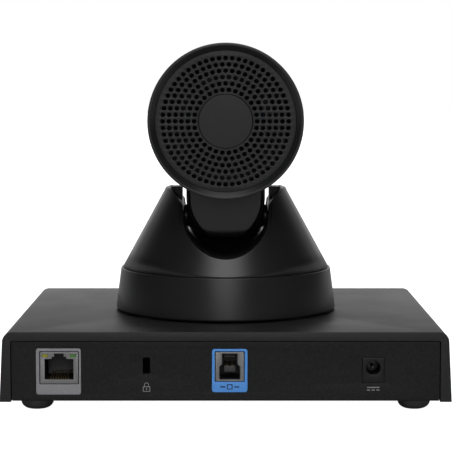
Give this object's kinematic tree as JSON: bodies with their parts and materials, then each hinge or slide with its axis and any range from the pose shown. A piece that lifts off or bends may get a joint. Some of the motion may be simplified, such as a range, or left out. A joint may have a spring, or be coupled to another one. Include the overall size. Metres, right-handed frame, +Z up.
{
  "type": "ptz camera",
  "caption": "Conference camera whose drum head pans on a flat base and tilts in a conical yoke, with moving zoom and focus lens groups.",
  "frame": {"origin": "on the floor, at the middle of the base's footprint and below the pan axis", "axes": "+Z up along the pan axis, the lens faces -Y, the socket panel faces +Y, +X is the left side seen from the front of the lens"},
  "size_m": [0.1882, 0.1454, 0.1543],
  "materials": {
    "base_paint": "fine textured black powder coat",
    "panel_paint": "fine grained matt black",
    "shell_plastic": "satin black moulded plastic",
    "grille_plastic": "matt black moulded plastic",
    "black_plastic": "black plastic",
    "foot_rubber": "matt black rubber",
    "belt_rubber": "black rubber",
    "steel": "plain steel",
    "shield_metal": "tinned steel",
    "aluminium": "cast, satin",
    "brass": "turned",
    "circuit_board": "green solder mask",
    "label_grey": "grey print on a plate",
    "label_blue": "blue plastic plate",
    "lamp_yellow": "yellow lamp",
    "lamp_green": "green lamp",
    "window_tint": "dark red infrared window",
    "lens_glass": "coated lens glass",
    "gear_plastic": "white acetal"
  },
  "bodies": {
    "base": {"base_cover": "base_paint", "bottom_plate": "panel_paint", "rear_panel": "panel_paint", "foot_rear_left": "foot_rubber", "foot_rear_right": "foot_rubber", "foot_front_left": "foot_rubber", "foot_front_right": "foot_rubber", "cover_screw_rear_left": "steel", "cover_screw_rear_right": "steel", "cover_screw_front_left": "steel", "cover_screw_front_right": "steel", "main_board": "circuit_board", "processor_heatsink": "aluminium", "ethernet_label": "label_grey", "ethernet_jack_shield": "shield_metal", "ethernet_jack_insert": "black_plastic", "ethernet_contacts": "brass", "ethernet_led_yellow": "lamp_yellow", "ethernet_led_green": "lamp_green", "usb_label": "label_blue", "usb_socket_shell": "shield_metal", "usb_socket_tongue": "black_plastic", "power_jack_body": "black_plastic", "power_jack_pin": "shield_metal", "lock_bracket": "steel", "remote_window": "window_tint", "tripod_insert": "brass", "pan_bearing": "steel", "pan_motor": "steel"},
    "pan_pinion": {"pan_pinion": "brass"},
    "yoke": {"pan_gear": "gear_plastic", "pan_turntable": "aluminium", "yoke_skirt": "shell_plastic", "yoke_shell": "shell_plastic", "tilt_frame": "aluminium", "tilt_bearing_left": "brass", "tilt_bearing_right": "brass", "tilt_motor": "steel", "tilt_belt": "belt_rubber", "signal_cable": "black_plastic"},
    "tilt_motor_pulley": {"tilt_motor_pulley": "brass"},
    "head": {"tilt_neck": "shell_plastic", "tilt_axle_left": "steel", "tilt_axle_right": "steel", "tilt_pulley": "gear_plastic", "head_shell": "shell_plastic", "rear_bezel": "shell_plastic", "rear_grille": "grille_plastic", "grille_support": "black_plastic", "grille_cap": "grille_plastic", "front_bezel": "black_plastic", "lens_barrel": "black_plastic", "front_lens": "lens_glass", "guide_rod_upper": "steel", "guide_rod_lower": "steel", "sensor_board": "circuit_board"},
    "zoom_group": {"zoom_cell": "black_plastic", "zoom_lens": "lens_glass"},
    "focus_group": {"focus_cell": "black_plastic", "focus_lens": "lens_glass"}
  },
  "joints": [
    {"name": "pan", "type": "hinge", "parent": "base", "child": "yoke", "pos_m": [0, 0, 0.0344], "axis": [0, 0, 1], "range_deg": [-170, 170]},
    {"name": "pan_pinion_spin", "type": "hinge", "parent": "base", "child": "pan_pinion", "pos_m": [0, -0.03, 0.0245], "axis": [0, 0, 1], "range_deg": [-680, 680]},
    {"name": "tilt", "type": "hinge", "parent": "yoke", "child": "head", "pos_m": [0, 0, 0.077], "axis": [1, 0, 0], "range_deg": [-25, 25]},
    {"name": "tilt_motor_spin", "type": "hinge", "parent": "yoke", "child": "tilt_motor_pulley", "pos_m": [0.0258, 0, 0.0496], "axis": [1, 0, 0], "range_deg": [-50, 50]},
    {"name": "zoom", "type": "slide", "parent": "head", "child": "zoom_group", "axis": [0, 1, 0], "range_m": [-0.011, 0.006]},
    {"name": "focus", "type": "slide", "parent": "head", "child": "focus_group", "axis": [0, 1, 0], "range_m": [-0.003, 0.004]}
  ],
  "couplings": [
    {"joint": "pan_pinion_spin", "follows": "pan", "ratio": -4},
    {"joint": "tilt_motor_spin", "follows": "tilt", "ratio": 2}
  ]
}
